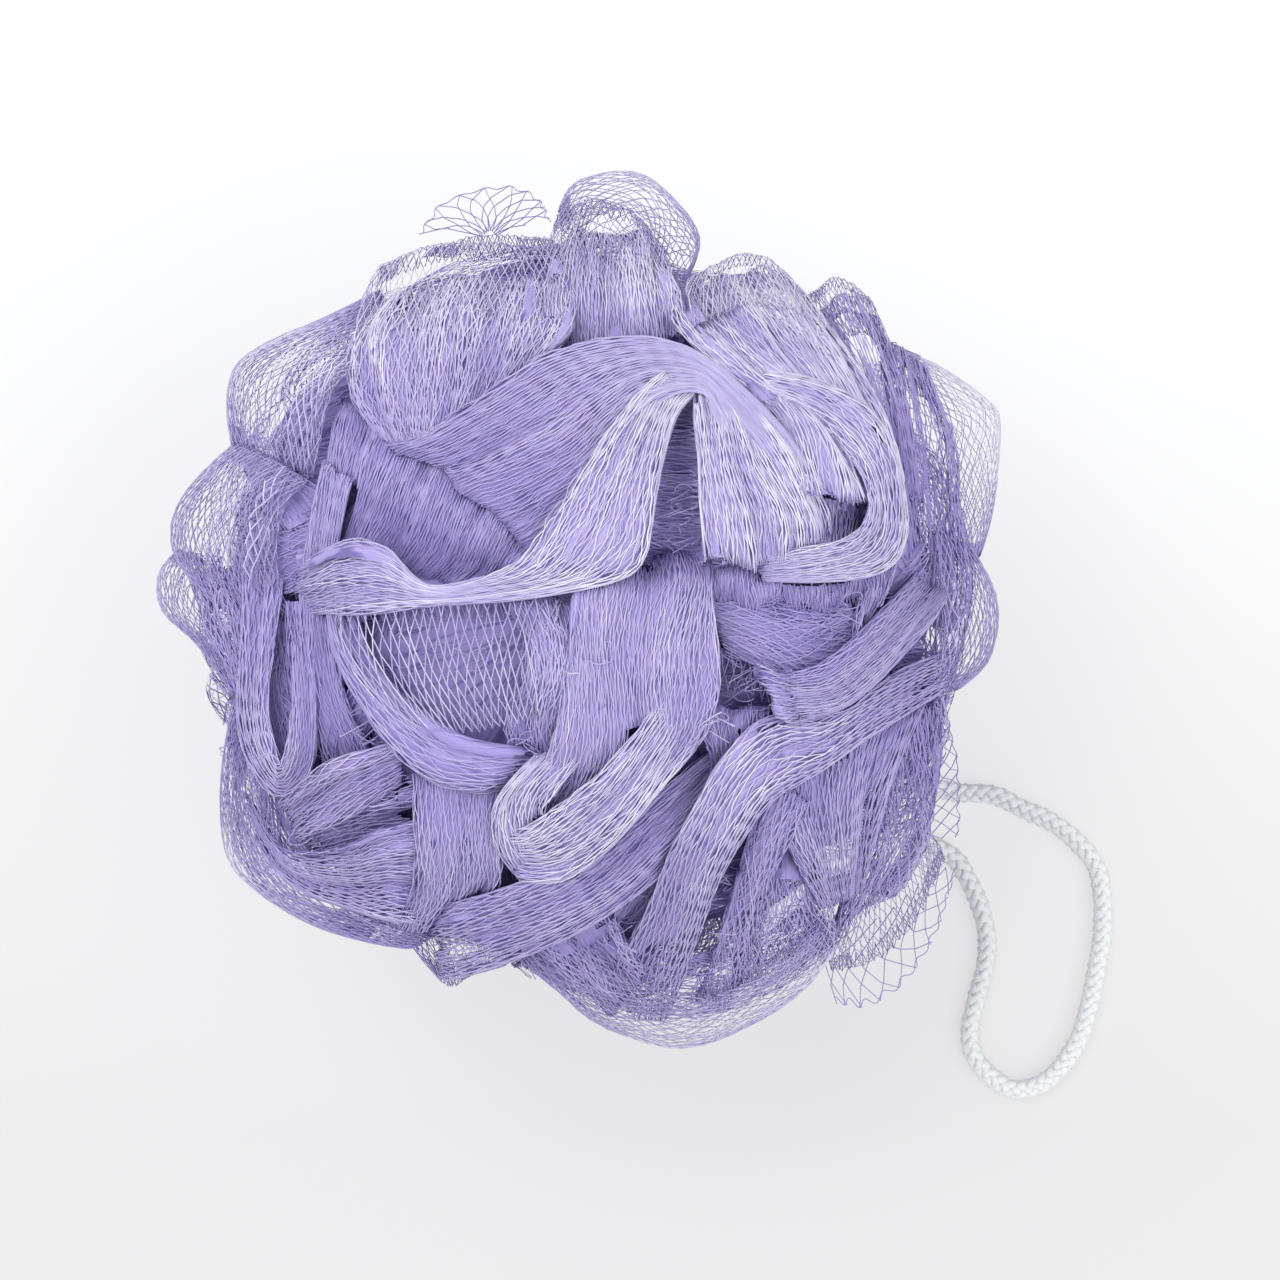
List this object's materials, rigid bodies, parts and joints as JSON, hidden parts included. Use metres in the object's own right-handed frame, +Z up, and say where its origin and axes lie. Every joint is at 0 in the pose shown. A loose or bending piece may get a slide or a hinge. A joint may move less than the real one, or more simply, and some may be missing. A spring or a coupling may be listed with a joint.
{
  "type": "mesh bath pouf",
  "caption": "Round bath pouf of soft netting gathered and tied at its waist, with a braided cord loop to hang it by.",
  "frame": {"origin": "centre of the netting's outline in plan, at the level of the surface it rests on", "axes": "+Z up from the resting surface, +Y towards the top of the picture, +X to its right"},
  "size_m": [0.1525, 0.1483, 0.1117],
  "materials": {
    "net": "glossy thin plastic netting",
    "cord": "braided white cord"
  },
  "bodies": {
    "root": {"netting": "net", "centre_tie": "cord", "hanging_cord": "cord"}
  },
  "joints": []
}
